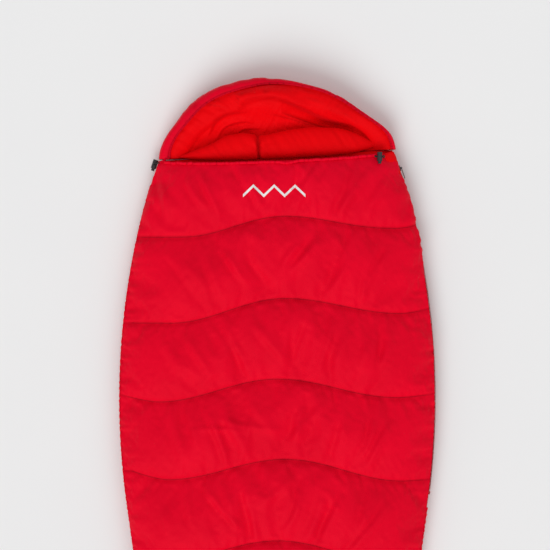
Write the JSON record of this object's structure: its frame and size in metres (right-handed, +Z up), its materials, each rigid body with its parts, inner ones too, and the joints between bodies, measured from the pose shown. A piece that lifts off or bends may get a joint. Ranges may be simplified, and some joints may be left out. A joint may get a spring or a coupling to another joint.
{
  "type": "sleeping bag",
  "caption": "Crimson quilted mummy sleeping bag lying closed on its back, with wavy quilting, side zip with fold-back front, hood with draft collar, drawcords and cord locks.",
  "frame": {"origin": "centre of the bounding box at floor level", "axes": "+Y from foot to hood, +Z up from the floor, +X towards the zip side"},
  "size_m": [0.7993, 2.2001, 0.1121],
  "materials": {
    "shell_fabric": "crimson woven polyester, light sheen",
    "lining_fabric": "bright red soft polyester lining",
    "filling": "white hollow-fibre wadding",
    "webbing": "black woven tape and hook-and-loop",
    "zip_tape": "dark red zip tape",
    "zip_plastic": "dark red nylon coil and moulded stops",
    "cord": "black braided cord",
    "lock_plastic": "black moulded plastic",
    "spring_steel": "spring wire",
    "slider_metal": "black painted die-cast metal",
    "print_ink": "white screen print"
  },
  "bodies": {
    "base": {"back_shell": "shell_fabric", "back_fill": "filling", "back_lining": "lining_fabric", "lower_front_shell": "shell_fabric", "lower_front_fill": "filling", "lower_front_lining": "lining_fabric", "foot_shell": "shell_fabric", "foot_fill": "filling", "foot_lining": "lining_fabric", "hanging_loop_left": "webbing", "hanging_loop_right": "webbing", "zip_tape_back": "zip_tape", "zip_coil_back": "zip_plastic", "zip_bottom_stop": "zip_plastic", "zip_top_stop_back": "zip_plastic", "side_binding_left": "shell_fabric", "side_binding_right": "shell_fabric", "draft_tube": "lining_fabric", "left_lock_barrel": "lock_plastic", "left_lock_spring": "spring_steel", "hood_cord_end": "cord"},
    "front_flap": {"flap_shell": "shell_fabric", "flap_fill": "filling", "flap_lining": "lining_fabric", "hem_tunnel": "shell_fabric", "hem_drawcord": "cord", "zip_tape_front": "zip_tape", "zip_coil_front": "zip_plastic", "zip_top_stop_front": "zip_plastic", "chest_print": "print_ink", "tab_loop_patch": "webbing", "right_lock_barrel": "lock_plastic", "right_lock_spring": "spring_steel"},
    "hood": {"hood_shell": "shell_fabric", "hood_fill": "filling", "hood_lining": "lining_fabric", "hood_rim_tunnel": "shell_fabric", "hood_drawcord": "cord", "draft_collar": "lining_fabric"},
    "closure_tab": {"closure_tab": "lining_fabric", "tab_hook_patch": "webbing"},
    "zip_slider": {"zip_slider": "slider_metal"},
    "zip_pull": {"zip_pull": "slider_metal"},
    "left_button": {"left_lock_button": "lock_plastic"},
    "right_button": {"right_lock_button": "lock_plastic"}
  },
  "joints": [
    {"name": "front_fold", "type": "hinge", "parent": "base", "child": "front_flap", "pos_m": [-0.31713, 0.845, 0.111], "axis": [0.6565, -0.7543, 0], "range_deg": [0, 150]},
    {"name": "zip_travel", "type": "hinge", "parent": "base", "child": "zip_slider", "pos_m": [-1.5, 0.29, 0.0383], "axis": [0, 0, -1], "range_deg": [0, 24.56]},
    {"name": "pull_swing", "type": "hinge", "parent": "zip_slider", "child": "zip_pull", "pos_m": [0.31318, 0.87235, 0.0383], "axis": [0, 0, 1], "range_deg": [0, 150]},
    {"name": "hood_lift", "type": "hinge", "parent": "base", "child": "hood", "pos_m": [0, 0.905, 0.06], "axis": [0.9991, 0.0419, 0], "range_deg": [0, 75]},
    {"name": "tab_peel", "type": "hinge", "parent": "front_flap", "child": "closure_tab", "pos_m": [0.29925, 0.8539, 0.06004], "axis": [0.8297, 0.2746, -0.4861], "range_deg": [0, 150]},
    {"name": "left_lock_press", "type": "slide", "parent": "base", "child": "left_button", "axis": [0.3108, 0.9505, 0], "range_m": [0, 0.004], "stiffness_N_per_m": 400, "springref_m": -0.002},
    {"name": "right_lock_press", "type": "slide", "parent": "front_flap", "child": "right_button", "axis": [0, 1, 0], "range_m": [0, 0.004], "stiffness_N_per_m": 400, "springref_m": -0.002}
  ],
  "couplings": [
    {"joint": "zip_travel", "follows": "front_fold", "ratio": 0.16374}
  ]
}
